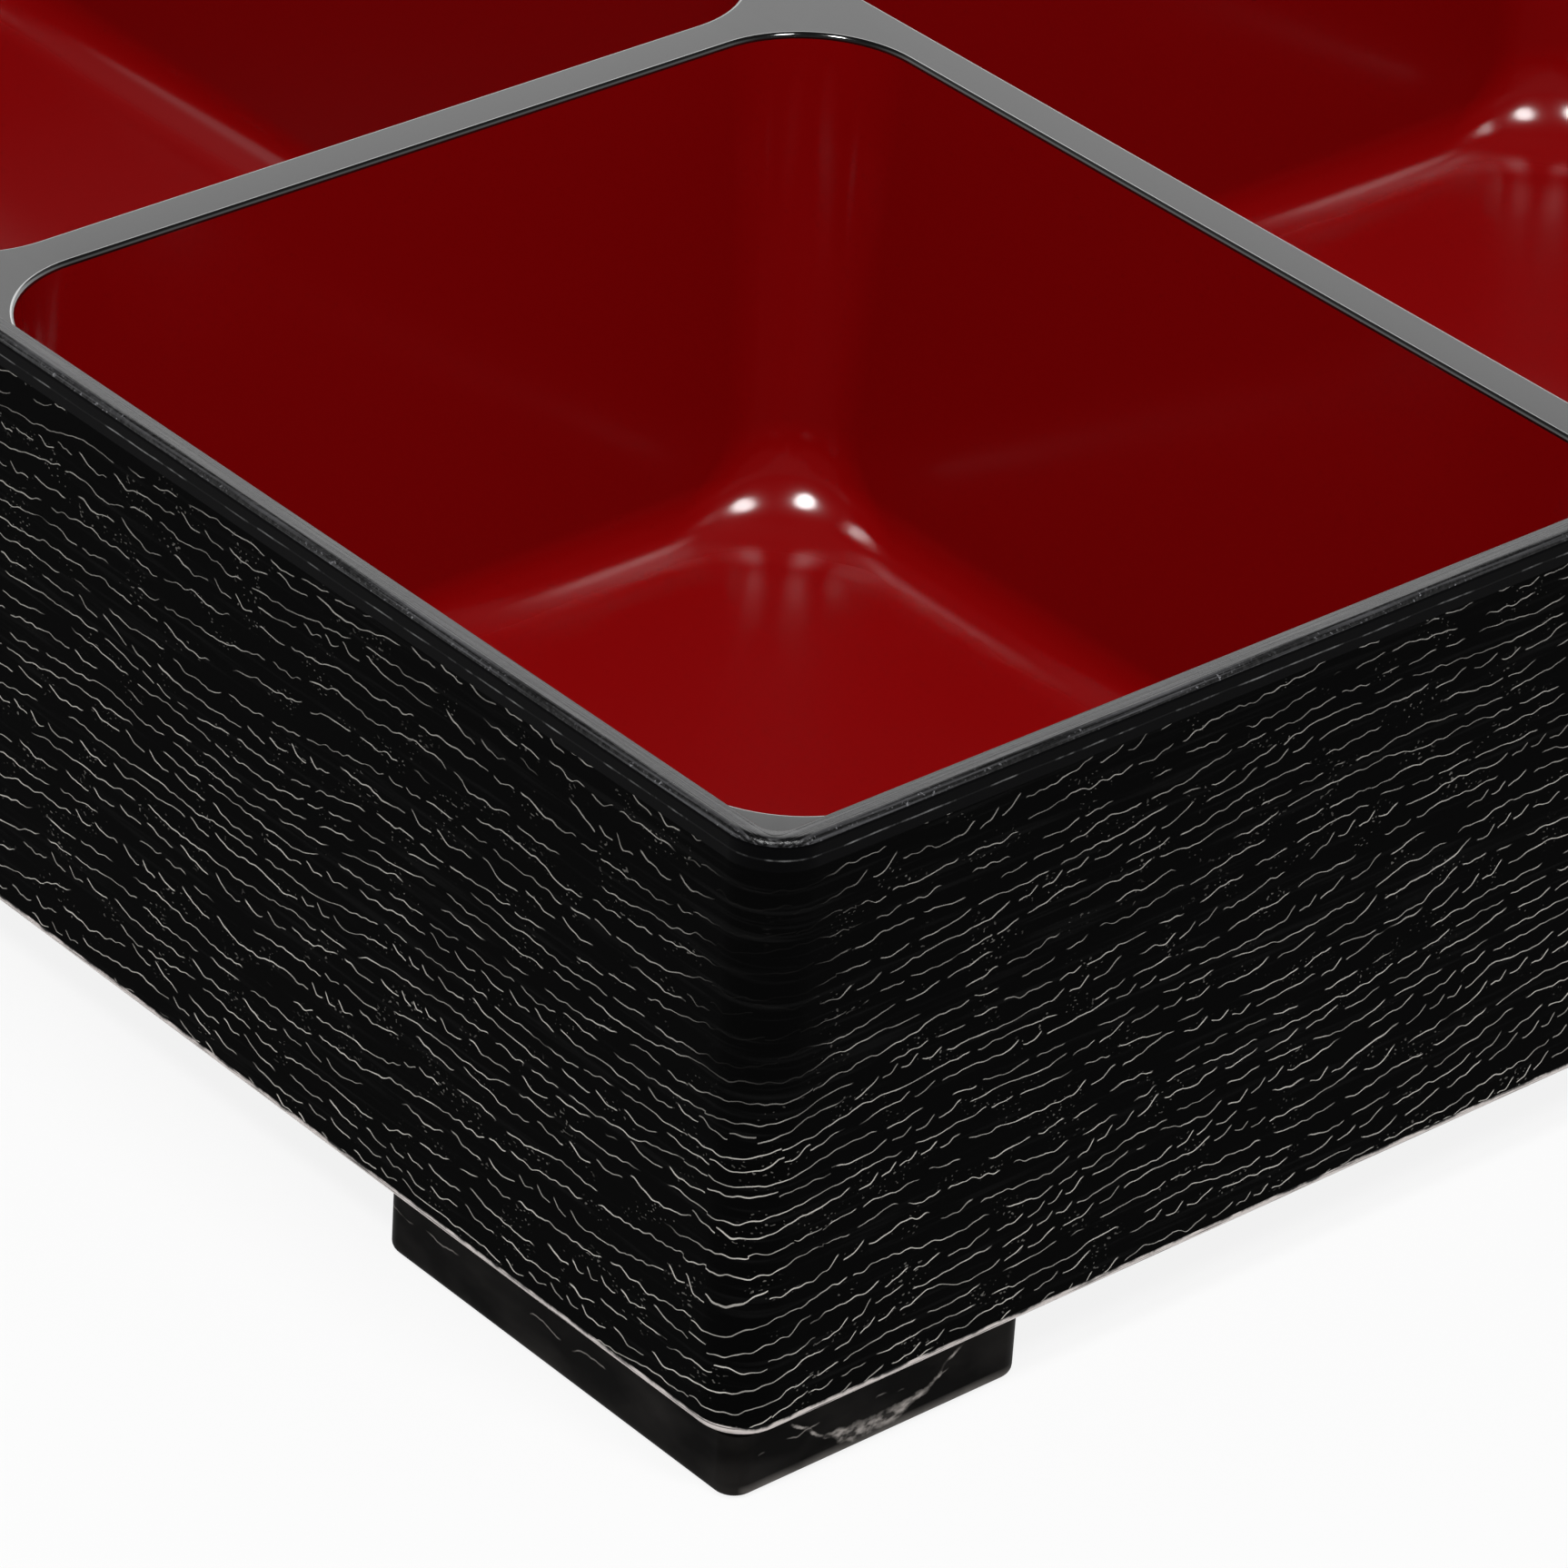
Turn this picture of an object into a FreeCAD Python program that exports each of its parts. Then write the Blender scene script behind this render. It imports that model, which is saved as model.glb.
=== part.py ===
"""Bento box: a moulded outer box on four bonded feet, with a lift-out tray of five pockets.

The origin is on the table under the middle of the box. X runs along the box, Y from its front
to its back, and Z up.
"""

import FreeCAD, Part
import Sketcher
import math
import os

# Driving sizes in millimetres.
SIZES = {
    # The outer box: its walls lean out a little from the base up to the rim.
    "box_length": "270",
    "box_width": "210",
    "box_height": "60",
    "wall_lean": "0.6",
    "corner_radius": "4.8",
    "base_edge_radius": "1.2",
    "rim_thickness": "2.1",
    "rim_outer_rounding": "0.75",
    "rim_inner_rounding": "0.15",
    "mouth_corner_radius": "1.8",
    "floor_thickness": "3",
    "cavity_fillet": "1",
    # The feet: one flat block under each corner of the box.
    "foot_length": "43.2",
    "foot_width": "30",
    "foot_height": "5.9",
    "foot_inset": "1.5",
    "foot_corner_radius": "2",
    "foot_edge_radius": "0.8",
    # The tray: a top plate with five thin-walled pockets hanging from it.
    "tray_drop": "2.5",
    "tray_clearance": "0.35",
    "tray_wall": "1.5",
    "tray_border": "1.55",
    "tray_edge_rounding": "0.3",
    "divider_width": "4.36",
    "lip_rounding": "0.4",
    "pocket_corner_radius": "10.9",
    "pocket_lean": "3.2",
    "pocket_floor_thickness": "2.3",
    "pocket_floor_fillet": "5.3",
    "front_row_width": "92.3",
    "front_right_length": "102.05",
    "back_right_length": "117.2",
    "back_middle_length": "68.04",
}

# Heights of the faces that the pieces share.
BOX_FLOOR = "(sizes.foot_height + sizes.floor_thickness)"
TRAY_TOP = "(sizes.box_height - sizes.tray_drop)"
PLATE_BOTTOM = f"({TRAY_TOP} - sizes.tray_wall)"
POCKET_FLOOR = f"({BOX_FLOOR} + sizes.pocket_floor_thickness)"

# How far the tray's edge and the pockets' mouths lie inside the outer face of the rim.
TRAY_INSET = "(sizes.rim_thickness + sizes.tray_clearance)"
POCKET_INSET = f"({TRAY_INSET} + sizes.tray_border)"

# The largest share of a corner's radius that the fillet at its foot may take.
FILLET_SHARE = 0.9

# Two places this close, in millimetres, count as one.
NEAR = 0.001


def size_sheet(doc):
    """The sheet of driving sizes, one named cell a row."""
    sheet = doc.addObject("Spreadsheet::Sheet", "sizes")
    for row, (name, value) in enumerate(SIZES.items(), start=1):
        sheet.set(f"A{row}", name)
        sheet.set(f"B{row}", value)
        sheet.setAlias(f"B{row}", name)
    doc.recompute()
    return sheet


def value_of(expression):
    """The number of millimetres that an expression on the sheet comes to."""
    return float(FreeCAD.ActiveDocument.sizes.evalExpression(expression))


def centred(length, width):
    """The left, right, front and back sides of a rectangle about the origin."""
    return [f"(-{length} / 2)", f"({length} / 2)", f"(-{width} / 2)", f"({width} / 2)"]


def grown(sides, amount):
    """The sides of a rectangle, each moved outwards by an amount."""
    left, right, front, back = sides
    along = [f"({left} - {amount})", f"({right} + {amount})"]
    across = [f"({front} - {amount})", f"({back} + {amount})"]
    return along + across


def corner_arc(x, y, radius, quarter):
    """A quarter circle about x and y, the first quarter being the one at the back right."""
    ring = Part.Circle(FreeCAD.Vector(x, y, 0), FreeCAD.Vector(0, 0, 1), radius)
    return Part.ArcOfCircle(ring, quarter * math.pi / 2, (quarter + 1) * math.pi / 2)


def straight(x_from, y_from, x_to, y_to):
    return Part.LineSegment(FreeCAD.Vector(x_from, y_from, 0), FreeCAD.Vector(x_to, y_to, 0))


def outline(body, name, height, sides, radius):
    """A level rounded rectangle, with its sides and its corner radius bound to the sheet."""
    sketch = body.newObject("Sketcher::SketchObject", name)
    ground = [plane for plane in body.Origin.OriginFeatures if plane.Role == "XY_Plane"][0]
    sketch.AttachmentSupport = (ground, [""])
    sketch.MapMode = "FlatFace"
    sketch.setExpression("AttachmentOffset.Base.z", height)
    left, right, front, back = [value_of(side) for side in sides]
    r = value_of(radius)
    sketch.addGeometry([
        straight(left + r, front, right - r, front),
        corner_arc(right - r, front + r, r, 3),
        straight(right, front + r, right, back - r),
        corner_arc(right - r, back - r, r, 0),
        straight(right - r, back, left + r, back),
        corner_arc(left + r, back - r, r, 1),
        straight(left, back - r, left, front + r),
        corner_arc(left + r, front + r, r, 2),
    ], False)
    around = sketch.GeometryCount
    for piece in range(around):
        sketch.addConstraint(Sketcher.Constraint("Tangent", piece, 2, (piece + 1) % around, 1))
    for line in (0, 4):
        sketch.addConstraint(Sketcher.Constraint("Horizontal", line))
    for line in (2, 6):
        sketch.addConstraint(Sketcher.Constraint("Vertical", line))
    for arc in (3, 5, 7):
        sketch.addConstraint(Sketcher.Constraint("Equal", 1, arc))
    bound = {
        "left": (Sketcher.Constraint("DistanceX", -1, 1, 6, 1, left), sides[0]),
        "right": (Sketcher.Constraint("DistanceX", -1, 1, 2, 1, right), sides[1]),
        "front": (Sketcher.Constraint("DistanceY", -1, 1, 0, 1, front), sides[2]),
        "back": (Sketcher.Constraint("DistanceY", -1, 1, 4, 1, back), sides[3]),
        "corner_radius": (Sketcher.Constraint("Radius", 1, r), radius),
    }
    for label, (constraint, expression) in bound.items():
        sketch.renameConstraint(sketch.addConstraint(constraint), label)
        sketch.setExpression(f"Constraints.{label}", expression)
    body.Document.recompute()
    return sketch


def extrusion(body, kind, name, sketch, length):
    """A Pad or a Pocket, by its kind, of a bound length."""
    feature = body.newObject(f"PartDesign::{kind}", name)
    feature.Profile = sketch
    feature.setExpression("Length", length)
    body.Document.recompute()
    return feature


def leaning_pad(body, name, foot_height, top_height, top_sides, top_radius, lean):
    """A block whose walls lean in by the lean on the way down to its foot."""
    foot_sides = grown(top_sides, f"(-{lean})")
    foot_outline = outline(body, f"{name}_outline", foot_height, foot_sides, f"{top_radius} - {lean}")
    feature = extrusion(body, "Pad", name, foot_outline, f"{top_height} - {foot_height}")
    feature.setExpression("TaperAngle", f"atan({lean} / ({top_height} - {foot_height}))")
    body.Document.recompute()
    return feature


def leaning_pocket(body, name, foot_height, top_height, top_sides, top_radius, lean):
    """A hollow whose walls lean in by the lean on the way down to its foot."""
    top_outline = outline(body, f"{name}_outline", top_height, top_sides, top_radius)
    feature = extrusion(body, "Pocket", name, top_outline, f"{top_height} - {foot_height}")
    feature.setExpression("TaperAngle", f"-atan({lean} / ({top_height} - {foot_height}))")
    body.Document.recompute()
    return feature


def edges_at(body, height, sides):
    """Names of the level edges at a height that lie within the stated sides."""
    level = value_of(height)
    left, right, front, back = [value_of(side) for side in sides]
    names = []
    for number, edge in enumerate(body.Tip.Shape.Edges, start=1):
        box = edge.BoundBox
        flat = abs(box.ZMin - level) < NEAR and abs(box.ZMax - level) < NEAR
        within_length = box.XMin > left - NEAR and box.XMax < right + NEAR
        within_width = box.YMin > front - NEAR and box.YMax < back + NEAR
        if flat and within_length and within_width:
            names.append(f"Edge{number}")
    return names


def fillet(body, name, edges, radius):
    """A fillet of a bound radius along edges of the body's last feature."""
    base = body.Tip
    feature = body.newObject("PartDesign::Fillet", name)
    feature.Base = (base, edges)
    feature.setExpression("Radius", radius)
    body.Document.recompute()
    return feature


def box_body(doc):
    """The outer box, moulded in one piece: its base, four leaning walls and a rim rounded outside."""
    body = doc.addObject("PartDesign::Body", "box_body")
    whole = centred("sizes.box_length", "sizes.box_width")
    leaning_pad(body, "walls", "sizes.foot_height", "sizes.box_height", whole,
                "sizes.corner_radius", "sizes.wall_lean")
    fillet(body, "base_edge", edges_at(body, "sizes.foot_height", whole), "sizes.base_edge_radius")
    fillet(body, "rim_outer_edge", edges_at(body, "sizes.box_height", whole), "sizes.rim_outer_rounding")
    mouth = grown(whole, "(-sizes.rim_thickness)")
    leaning_pocket(body, "cavity", BOX_FLOOR, "sizes.box_height", mouth,
                   "sizes.mouth_corner_radius", "sizes.wall_lean")
    floor_corner = "(sizes.mouth_corner_radius - sizes.wall_lean)"
    foot_fillet = f"min(sizes.cavity_fillet; {FILLET_SHARE} * {floor_corner})"
    fillet(body, "cavity_foot", edges_at(body, BOX_FLOOR, whole), foot_fillet)
    fillet(body, "rim_inner_edge", edges_at(body, "sizes.box_height", mouth), "sizes.rim_inner_rounding")
    return body


def foot(doc, name, side_x, side_y):
    """One flat foot, bonded under the base at the corner that side_x and side_y point to."""
    body = doc.addObject("PartDesign::Body", name)
    sides = centred("sizes.foot_length", "sizes.foot_width")
    block = outline(body, f"{name}_outline", "0", sides, "sizes.foot_corner_radius")
    extrusion(body, "Pad", f"{name}_block", block, "sizes.foot_height")
    fillet(body, f"{name}_edge", edges_at(body, "0", sides), "sizes.foot_edge_radius")
    middle_x = "(sizes.box_length / 2 - sizes.foot_inset - sizes.foot_length / 2)"
    middle_y = "(sizes.box_width / 2 - sizes.foot_inset - sizes.foot_width / 2)"
    body.setExpression("Placement.Base.x", f"{side_x} * {middle_x}")
    body.setExpression("Placement.Base.y", f"{side_y} * {middle_y}")
    return body


def pocket_sides():
    """The mouth of each pocket: its left, right, front and back sides."""
    left, right, front, back = grown(centred("sizes.box_length", "sizes.box_width"), f"(-{POCKET_INSET})")
    front_row_back = f"({front} + sizes.front_row_width)"
    back_row_front = f"({front_row_back} + sizes.divider_width)"
    front_divider = f"({right} - sizes.front_right_length)"
    back_divider = f"({right} - sizes.back_right_length)"
    middle_right = f"({back_divider} - sizes.divider_width)"
    middle_left = f"({middle_right} - sizes.back_middle_length)"
    return {
        "front_right": [front_divider, right, front, front_row_back],
        "front_left": [left, f"({front_divider} - sizes.divider_width)", front, front_row_back],
        "back_right": [back_divider, right, back_row_front, back],
        "back_middle": [middle_left, middle_right, back_row_front, back],
        "back_left": [left, f"({middle_left} - sizes.divider_width)", back_row_front, back],
    }


def compartment_tray(doc):
    """The lift-out tray, moulded in one piece: a top plate and five pockets on the box's floor."""
    body = doc.addObject("PartDesign::Body", "compartment_tray")
    whole = centred("sizes.box_length", "sizes.box_width")
    edge = grown(whole, f"(-{TRAY_INSET})")
    plate = outline(body, "plate_outline", PLATE_BOTTOM, edge, "sizes.mouth_corner_radius")
    extrusion(body, "Pad", "plate", plate, "sizes.tray_wall")
    fillet(body, "plate_edge", edges_at(body, TRAY_TOP, edge), "sizes.tray_edge_rounding")
    for name, sides in pocket_sides().items():
        leaning_pad(body, f"{name}_shell", BOX_FLOOR, TRAY_TOP, grown(sides, "sizes.tray_wall"),
                    "(sizes.pocket_corner_radius + sizes.tray_wall)", "sizes.pocket_lean")
    for name, sides in pocket_sides().items():
        leaning_pocket(body, f"{name}_pocket", POCKET_FLOOR, TRAY_TOP, sides,
                       "sizes.pocket_corner_radius", "sizes.pocket_lean")
    floor_corner = "(sizes.pocket_corner_radius - sizes.pocket_lean)"
    foot_fillet = f"min(sizes.pocket_floor_fillet; {FILLET_SHARE} * {floor_corner})"
    fillet(body, "pocket_foot", edges_at(body, POCKET_FLOOR, edge), foot_fillet)
    fillet(body, "shell_foot", edges_at(body, BOX_FLOOR, edge), f"{foot_fillet} + sizes.tray_wall")
    mouths = grown(whole, f"(-{POCKET_INSET})")
    fillet(body, "pocket_lip", edges_at(body, TRAY_TOP, mouths), "sizes.lip_rounding")
    return body


def check(doc, pieces):
    """Stop where an object of the document failed or a piece has no sound shape."""
    doc.recompute()
    for thing in doc.Objects:
        if "Invalid" in thing.State or "Error" in thing.State:
            raise RuntimeError(f"{thing.Name} did not build: {thing.State}")
    for piece in pieces:
        if piece.Shape.isNull() or not piece.Shape.isValid():
            raise RuntimeError(f"{piece.Label} has no valid shape")


def write(pieces):
    """One file a piece, named by its label."""
    os.makedirs("parts", exist_ok=True)
    for piece in pieces:
        piece.Shape.exportStep(f"parts/{piece.Label}.step")
        box = piece.Shape.BoundBox
        print(f"{piece.Label}: {len(piece.Shape.Solids)} solid, {piece.Shape.Volume:.0f} mm3, "
              f"z {box.ZMin:.2f} to {box.ZMax:.2f}")


doc = FreeCAD.newDocument("bento_box")
size_sheet(doc)
pieces = [box_body(doc)]
for along, side_x in (("left", -1), ("right", 1)):
    for across, side_y in (("front", -1), ("back", 1)):
        pieces.append(foot(doc, f"foot_{across}_{along}", side_x, side_y))
pieces.append(compartment_tray(doc))
check(doc, pieces)
write(pieces)
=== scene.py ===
import math
import bmesh
import bpy
from mathutils import Matrix, Vector


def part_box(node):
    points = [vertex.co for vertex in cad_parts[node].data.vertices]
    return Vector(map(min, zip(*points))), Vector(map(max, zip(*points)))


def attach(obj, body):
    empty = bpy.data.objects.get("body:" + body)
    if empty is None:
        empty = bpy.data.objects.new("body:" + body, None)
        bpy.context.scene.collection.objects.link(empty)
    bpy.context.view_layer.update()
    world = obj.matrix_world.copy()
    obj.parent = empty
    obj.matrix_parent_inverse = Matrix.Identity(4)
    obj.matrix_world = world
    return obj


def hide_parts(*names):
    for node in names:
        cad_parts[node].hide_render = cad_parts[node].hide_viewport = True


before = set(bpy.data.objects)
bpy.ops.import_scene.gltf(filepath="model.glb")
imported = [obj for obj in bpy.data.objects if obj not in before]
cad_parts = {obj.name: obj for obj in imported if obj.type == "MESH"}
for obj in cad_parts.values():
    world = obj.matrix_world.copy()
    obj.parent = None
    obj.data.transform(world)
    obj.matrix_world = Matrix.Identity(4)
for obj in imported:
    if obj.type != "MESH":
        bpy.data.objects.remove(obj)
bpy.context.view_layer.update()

# The outer box: one injection moulding in black plastic, with a floor, four walls that lean out
# a little and a plain rim. The steel mould gives its walls their raised wood grain, and leaves
# the rim and the bottom edge smooth.
MM = 0.001
WALL_LEAN = 0.6 * MM
CORNER_RADIUS = 4.8 * MM
RIM_THICKNESS = 2.1 * MM
RIM_OUTER_ROUNDING = 0.75 * MM
RIM_INNER_ROUNDING = 0.15 * MM
RIM_SHINE_DEPTH = 0.42 * MM
MOUTH_CORNER_RADIUS = 1.8 * MM
BASE_EDGE_RADIUS = 1.2 * MM
SMOOTH_BAND = 2.6 * MM
BOX_FLOOR_THICKNESS = 3 * MM
CAVITY_FILLET = 1 * MM
CORNER_SEGMENTS = 16
EDGE_STEPS = 8
INNER_EDGE_STEPS = 4
CAVITY_STEPS = 6
SHARP_ABOVE_DEGREES = 40
MERGE_DISTANCE = 0.001 * MM
box_low, box_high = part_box("box_body")


def start_piece(name):
    """A new piece with no faces yet, at the origin, alone selected and open for editing."""
    bpy.ops.object.select_all(action="DESELECT")
    bpy.ops.mesh.primitive_plane_add(size=1)
    piece = bpy.context.object
    piece.name = name
    piece.data.name = name
    bpy.ops.object.mode_set(mode="EDIT")
    bpy.ops.mesh.delete(type="VERT")
    return piece


def rounded_sheet(low, high, height, radius, segments):
    """Add a level sheet with rounded corners to the open piece, and leave it selected."""
    middle = ((low.x + high.x) / 2, (low.y + high.y) / 2, height)
    bpy.ops.mesh.select_all(action="DESELECT")
    bpy.ops.mesh.select_mode(type="VERT")
    bpy.ops.mesh.primitive_plane_add(size=1, location=middle)
    size = (high.x - low.x, high.y - low.y, 1)
    bpy.ops.transform.resize(value=size, center_override=middle)
    bpy.ops.mesh.bevel(offset=radius, segments=segments, affect="VERTICES")


def arc(radius, start, end, steps):
    """The steps in and up along an arc whose heading turns from start to end, in degrees."""
    turn = math.radians(end - start) / steps
    chord = 2 * radius * math.sin(abs(turn) / 2)
    headings = [math.radians(start) + turn * (step + 0.5) for step in range(steps)]
    return [(chord * math.cos(heading), chord * math.sin(heading)) for heading in headings]


def sink(path):
    """Inset the selected sheet step by step, each step so far in and so far up or down."""
    for inward, upward in path:
        bpy.ops.mesh.inset(thickness=inward, depth=upward)


def select_where(piece, kind, wanted):
    """Select the piece's shown faces or edges that wanted says yes to, and nothing else."""
    bpy.ops.mesh.select_all(action="DESELECT")
    bpy.ops.mesh.select_mode(type=kind)
    mesh = bmesh.from_edit_mesh(piece.data)
    for part in mesh.faces if kind == "FACE" else mesh.edges:
        if not part.hide and wanted(part):
            part.select_set(True)
    mesh.select_flush_mode()
    bmesh.update_edit_mesh(piece.data)


def is_open(edge):
    """Whether an edge lies on the border of a hole."""
    return len(edge.link_faces) < 2


def middle_of(part):
    """The middle of a face or an edge."""
    return sum((corner.co for corner in part.verts), Vector()) / len(part.verts)


def give_finish(piece, material, wanted):
    """Put a material on the piece's faces that wanted says yes to."""
    if material.name not in piece.data.materials:
        piece.data.materials.append(material)
    piece.active_material_index = piece.data.materials.find(material.name)
    select_where(piece, "FACE", wanted)
    bpy.ops.object.material_slot_assign()


def close_piece(piece):
    """Merge a piece's seams, turn its faces outwards and smooth all but its sharp edges."""
    bpy.ops.mesh.select_mode(type="VERT")
    bpy.ops.mesh.select_all(action="SELECT")
    bpy.ops.mesh.remove_doubles(threshold=MERGE_DISTANCE)
    bpy.ops.mesh.normals_make_consistent(inside=False)
    bpy.ops.object.mode_set(mode="OBJECT")
    bpy.ops.object.shade_smooth_by_angle(angle=math.radians(SHARP_ABOVE_DEGREES))
    bpy.ops.object.modifier_add(type="WEIGHTED_NORMAL")
    piece.modifiers[-1].keep_sharp = True
    bpy.ops.object.modifier_apply(modifier=piece.modifiers[-1].name)


def plastic(name, color, roughness, specular):
    """A plain plastic, and its shader."""
    material = bpy.data.materials.new(name)
    material.use_nodes = True
    shader = material.node_tree.nodes["Principled BSDF"]
    shader.inputs["Base Color"].default_value = color
    shader.inputs["Roughness"].default_value = roughness
    shader.inputs["Specular IOR Level"].default_value = specular
    return material, shader


def node(tree, kind, *inputs, **settings):
    """Add a node with its settings; its inputs are values or other nodes' outputs, in order."""
    made = tree.nodes.new("ShaderNode" + kind)
    for setting, value in settings.items():
        setattr(made, setting, value)
    for socket, value in zip(made.inputs, inputs):
        if isinstance(value, bpy.types.NodeSocket):
            tree.links.new(value, socket)
        elif value is not None:
            socket.default_value = value
    return made.outputs[0]


def maths(tree, operation, *inputs):
    """One step of arithmetic."""
    return node(tree, "Math", *inputs, operation=operation)


def summed(tree, *terms):
    """The sum of the terms."""
    total = terms[0]
    for term in terms[1:]:
        total = maths(tree, "ADD", total, term)
    return total


def times(tree, *factors):
    """The product of the factors."""
    product = factors[0]
    for factor in factors[1:]:
        product = maths(tree, "MULTIPLY", product, factor)
    return product


def ramp(tree, value, low, high, start=0, end=1):
    """From start where the value is at low, or less, to end where it is at high, or more."""
    return node(tree, "MapRange", value, low, high, start, end)


def soft_ramp(tree, value, low, high):
    """From 0 at low to 1 at high, with soft ends."""
    return node(tree, "MapRange", value, low, high, 0, 1, interpolation_type="SMOOTHSTEP")


NOISE_RANGE = (0.25, 0.75)


def noise(tree, place, detail=0):
    """Smooth noise about zero, from -1 to 1, that changes over one unit of place."""
    value = node(tree, "TexNoise", place, None, 1, detail)
    return ramp(tree, value, *NOISE_RANGE, -1, 1)


def mottle(tree, surface, lengths, detail=0):
    """Noise from -1 to 1 that changes over its own length along each axis of the surface."""
    per_length = tuple(1 / length for length in lengths)
    return noise(tree, node(tree, "VectorMath", surface, per_length, operation="MULTIPLY"), detail)


def mixed(tree, share, ground, top):
    """Two colours mixed by a share, from the ground alone at 0 to the top alone at 1."""
    # The node's sockets for plain numbers and for vectors come before those for colours.
    numbers_and_vectors = [None] * 5
    mix = node(tree, "Mix", share, *numbers_and_vectors, ground, top, data_type="RGBA").node
    return mix.outputs[2]


def axes_of(tree, place):
    """A place's X, Y and Z."""
    return node(tree, "SeparateXYZ", place).node.outputs


def places_on(material):
    """A material's node tree, the place on the piece's surface, and that place's X, Y and Z."""
    tree = material.node_tree
    surface = tree.nodes.new("ShaderNodeTexCoord").outputs["Object"]
    return tree, surface, axes_of(tree, surface)


# The wall grain: rows of fine raised lines, broken into long and short runs that climb a little
# along the walls. The lines are painted pale as a painted highlight on their crests. Round the
# corners the lines run unbroken low down and fade out above.
GRAIN_PITCH = 1.8 * MM
GRAIN_RISE = 0.085
GRAIN_END_RISE = 0.06
GRAIN_LINE = 0.1 * MM
GRAIN_LINE_SHARE = 0.42
GRAIN_RELIEF = 0.02 * MM
GRAIN_RELIEF_STRENGTH = 0.6
SWELL_LENGTHS = (34 * MM, 34 * MM, 16 * MM)
SWELL_SHARE = 0.9
LONG_RUN = 28 * MM
SHORT_RUN = 4.6 * MM
LONG_SHARE = 0.55
RUN_START = (0.1, 0.16)
RUN_END = (0.86, 0.92)
HOOK_REACH = (0.5, 0.95)
SHORT_HOOK_SHARE = 0.36
LONG_HOOK_SHARE = 0.12
JITTER_LENGTH = 11 * MM
JITTER_ROW_STEP = 3.7
JITTER_SHARE = 1.3
WAVE_LENGTH = 6 * MM
WAVE_ROW_STEP = 2.3
WAVE_SHARE = 0.2
WIGGLE_LENGTH = 1.1 * MM
WIGGLE_ROW_STEP = 5.1
WIGGLE_SHARE = 0.09
CORNER_ZONE = 10 * MM
CORNER_FADE = (32 * MM, 40 * MM)
CORNER_FADED_SHARE = 0.01
GRAIN_PATCH_LENGTHS = (5 * MM, 5 * MM, 3 * MM)
HIGHLIGHT_PATCH_RANGE = (-0.6, 0.3)
LEAST_HIGHLIGHT_SHARE = 0.5
UNDER_RIM_FADE = (22 * MM, 56 * MM)
UNDER_RIM_SHARE = 0.55
FAINT_STREAK_LENGTHS = (14 * MM, 14 * MM, 0.5 * MM)
FAINT_STREAK_RANGE = (0.1, 1)
SPECK_LENGTHS = (0.34 * MM, 0.34 * MM, 0.22 * MM)
SPECK_RANGE = (0.98, 1)
SPECK_PATCH_RANGE = (0.2, 0.8)
SPECK_SHARE = 0.2
SEAM_HALF_WIDTH = 0.15 * MM
SEAM_CREST = 0.02 * MM
SEAM_FADE = (50 * MM, 54 * MM)
TICK_LENGTHS = (1.2 * MM, 1.2 * MM, 0.28 * MM)
TICK_RANGE = (0.4, 0.7)
TICK_SHARE = 0.1
# The colour of the grain lines' painted highlight, which the specks and seam ticks also take.
GRAIN_PALE = (0.6, 0.57, 0.53, 1)
GRAIN_DARK = (0.002, 0.002, 0.002, 1)
GRAIN_STREAK = (0.0055, 0.0055, 0.0055, 1)


def row_noise(tree, axes, row, length, row_step):
    """Noise that changes over a length along a row, and by a step from one row to the next."""
    place = node(tree, "CombineXYZ", times(tree, axes["X"], 1 / length),
                 times(tree, axes["Y"], 1 / length), times(tree, row, row_step))
    return noise(tree, place)


def grain_lines(tree, place):
    """The grain at a place on the wall: the layer it is in, counted upwards and parted by the
    lines, and how far it is along its run of line, from 0 at its start to 1 at the next one."""
    axes = axes_of(tree, place)
    level = times(tree, axes["Z"], 1 / GRAIN_PITCH)
    climb = summed(tree, times(tree, axes["Y"], -GRAIN_RISE / GRAIN_PITCH),
                   times(tree, axes["X"], -GRAIN_END_RISE / GRAIN_PITCH))
    swell = times(tree, mottle(tree, place, SWELL_LENGTHS), SWELL_SHARE)
    height = summed(tree, level, climb, swell)
    row = maths(tree, "FLOOR", height)
    chance = node(tree, "TexWhiteNoise", None, row, noise_dimensions="1D")
    is_long = maths(tree, "LESS_THAN", chance, LONG_SHARE)
    rate = ramp(tree, is_long, 0, 1, 1 / SHORT_RUN, 1 / LONG_RUN)
    away = maths(tree, "SUBTRACT", axes["Y"], axes["X"])
    jitter = times(tree, row_noise(tree, axes, row, JITTER_LENGTH, JITTER_ROW_STEP), JITTER_SHARE)
    along_run = maths(tree, "FRACT", summed(tree, times(tree, away, rate), jitter))
    hook_share = ramp(tree, is_long, 0, 1, SHORT_HOOK_SHARE, LONG_HOOK_SHARE)
    hook = times(tree, soft_ramp(tree, along_run, *HOOK_REACH), hook_share)
    wave = times(tree, row_noise(tree, axes, row, WAVE_LENGTH, WAVE_ROW_STEP), WAVE_SHARE)
    wiggle = times(tree, row_noise(tree, axes, row, WIGGLE_LENGTH, WIGGLE_ROW_STEP), WIGGLE_SHARE)
    line_height = summed(tree, GRAIN_LINE_SHARE, hook, wave, wiggle)
    above = maths(tree, "GREATER_THAN", maths(tree, "FRACT", height), line_height)
    return summed(tree, row, above), along_run


def corner_share(tree, axes):
    """From 0 on the flat of the walls to 1 on the rounds of the four corners."""
    near_end = soft_ramp(tree, maths(tree, "ABSOLUTE", axes["X"]),
                         box_high.x - CORNER_ZONE, box_high.x - CORNER_ZONE / 2)
    near_side = soft_ramp(tree, maths(tree, "ABSOLUTE", axes["Y"]),
                          box_high.y - CORNER_ZONE, box_high.y - CORNER_ZONE / 2)
    return times(tree, near_end, near_side)


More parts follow.
